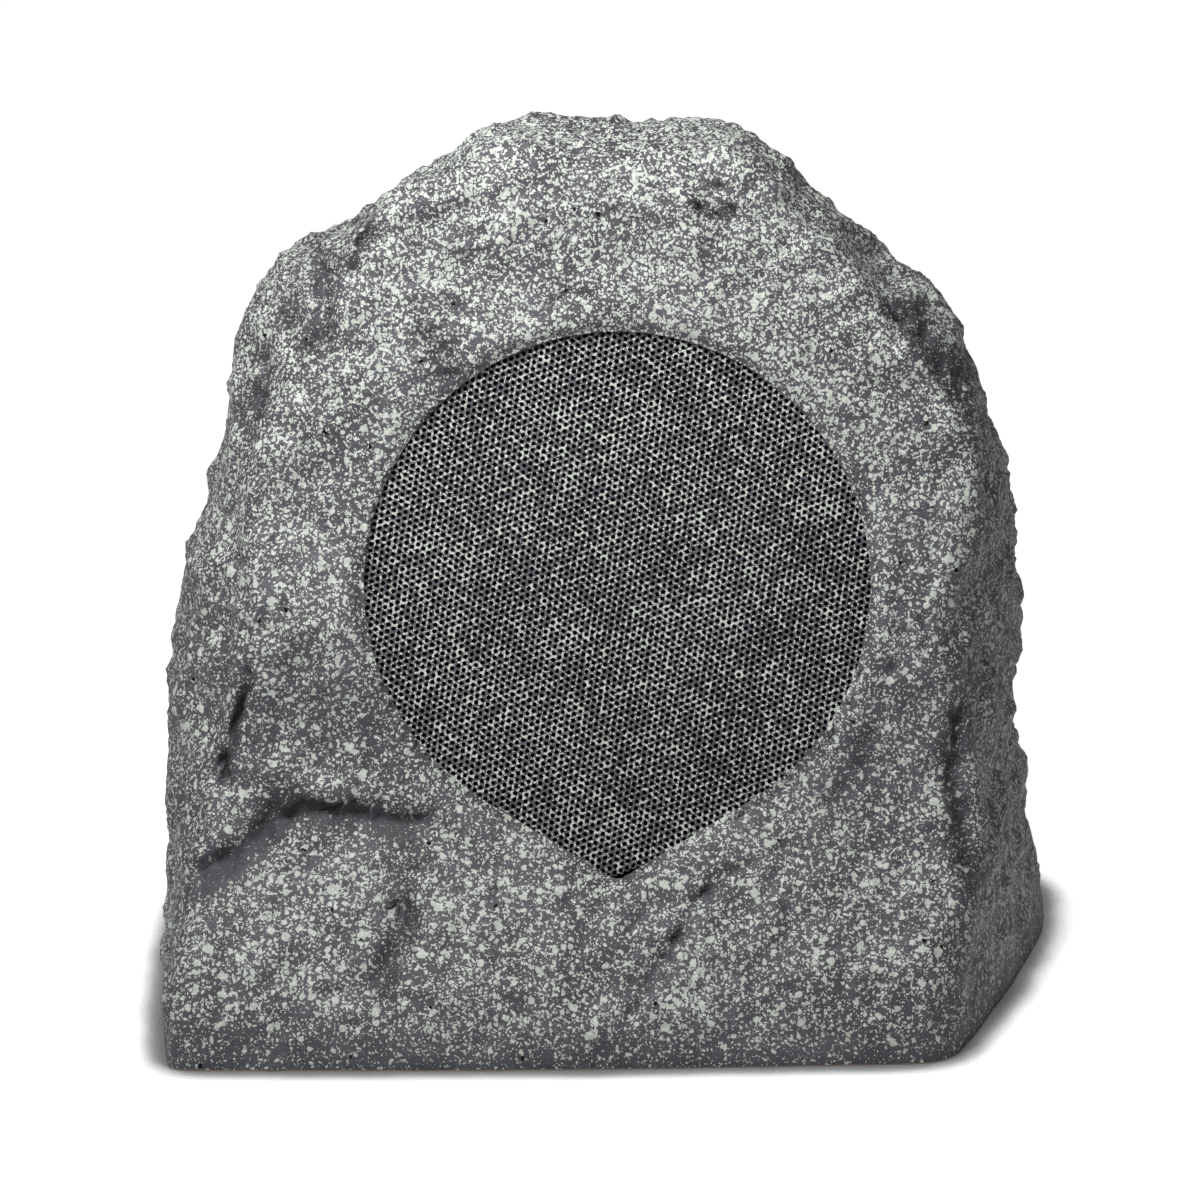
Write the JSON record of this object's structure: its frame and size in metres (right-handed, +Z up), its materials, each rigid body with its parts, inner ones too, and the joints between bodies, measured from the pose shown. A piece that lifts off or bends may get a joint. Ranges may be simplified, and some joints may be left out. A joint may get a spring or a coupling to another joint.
{
  "type": "rock shaped garden speaker",
  "caption": "Rock-shaped outdoor loudspeaker: a moulded, speckled stone-look cabinet with a flat teardrop grille over a two-way driver, standing on its rim.",
  "frame": {"origin": "on the ground under the middle of the cabinet's box", "axes": "+Z up, -Y the way the grille faces, +X to the right of someone looking at the grille"},
  "size_m": [0.348, 0.276, 0.318],
  "materials": {
    "rock_paint": "pale speckles on dark grey stone paint",
    "grille_paint": "the cabinet's stone paint over perforated sheet",
    "acoustic_cloth": "black knitted cloth",
    "foam": "closed-cell foam",
    "basket_paint": "satin black powder coat",
    "surround_rubber": "butyl rubber",
    "cone_plastic": "moulded polypropylene",
    "former_foil": "bare foil",
    "copper": "enamelled copper wire",
    "spider_cloth": "resin-dipped cotton",
    "motor_steel": "zinc-plated steel",
    "ferrite": "bare ferrite",
    "screw_steel": "zinc-plated steel",
    "black_plastic": "moulded plastic",
    "dome_silk": "coated silk",
    "base_plastic": "moulded plastic, fine grain",
    "grommet_rubber": "moulded rubber",
    "board_laminate": "phenolic laminate",
    "capacitor_film": "wrapped film",
    "resistor_ceramic": "cement-filled ceramic",
    "terminal_plastic": "moulded plastic",
    "tag_brass": "tinned brass",
    "lead_plastic": "insulated wire"
  },
  "bodies": {
    "cabinet": {"rock_shell": "rock_paint", "grille": "grille_paint", "grille_cloth": "acoustic_cloth", "driver_seal": "foam", "woofer_basket": "basket_paint", "woofer_surround": "surround_rubber", "woofer_gasket": "foam", "spider": "spider_cloth", "top_plate": "motor_steel", "magnet": "ferrite", "pole_yoke": "motor_steel", "terminal_strip": "board_laminate", "terminal_tags": "tag_brass", "woofer_screws": "screw_steel", "tweeter_bridge": "basket_paint", "bridge_screws": "screw_steel", "tweeter_housing": "black_plastic", "tweeter_motor_cup": "motor_steel", "tweeter_magnet": "ferrite", "tweeter_pole_plate": "motor_steel", "tweeter_dome": "dome_silk", "tweeter_face_ring": "black_plastic", "base_plate": "base_plastic", "base_gasket": "foam", "base_screws": "screw_steel", "cable_grommet": "grommet_rubber", "crossover_board": "board_laminate", "crossover_screws": "screw_steel", "inductor_bobbin": "black_plastic", "inductor_winding": "copper", "crossover_capacitor": "capacitor_film", "crossover_resistor": "resistor_ceramic", "input_terminal_block": "terminal_plastic", "woofer_leads": "lead_plastic"},
    "cone": {"woofer_cone": "cone_plastic", "dust_cap": "cone_plastic", "voice_coil_former": "former_foil", "voice_coil_winding": "copper"}
  },
  "joints": [
    {"name": "cone_slide", "type": "slide", "parent": "cabinet", "child": "cone", "axis": [0, -0.9511, 0.309], "range_m": [-0.005, 0.005], "stiffness_N_per_m": 2000, "deforming": ["woofer_surround", "spider"]}
  ]
}
